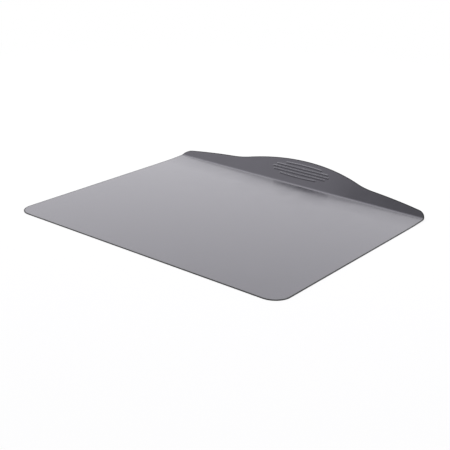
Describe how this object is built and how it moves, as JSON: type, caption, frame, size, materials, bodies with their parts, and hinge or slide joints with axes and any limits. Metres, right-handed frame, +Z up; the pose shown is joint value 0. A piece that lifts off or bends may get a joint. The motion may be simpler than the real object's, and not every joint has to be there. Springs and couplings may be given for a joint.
{
  "type": "cookie sheet",
  "caption": "Flat rimless cookie sheet of non-stick coated steel, with rounded corners and one raised humped handle flange that carries an oval ribbed grip.",
  "frame": {"origin": "centre of the bounding box's bottom face, on the plane that the sheet lies on", "axes": "+X across the sheet's width, +Y from the plain front edge towards the handle flange, +Z up out of the cooking surface"},
  "size_m": [0.4064, 0.3556, 0.0268],
  "materials": {
    "bare_steel": "rolled, fully covered by the coats",
    "cooking_coat": "smooth satin dark grey non-stick coat",
    "underside_coat": "satin dark grey non-stick coat"
  },
  "bodies": {
    "root": {"steel_sheet": "bare_steel", "cooking_coat": "cooking_coat", "underside_coat": "underside_coat"}
  },
  "joints": []
}
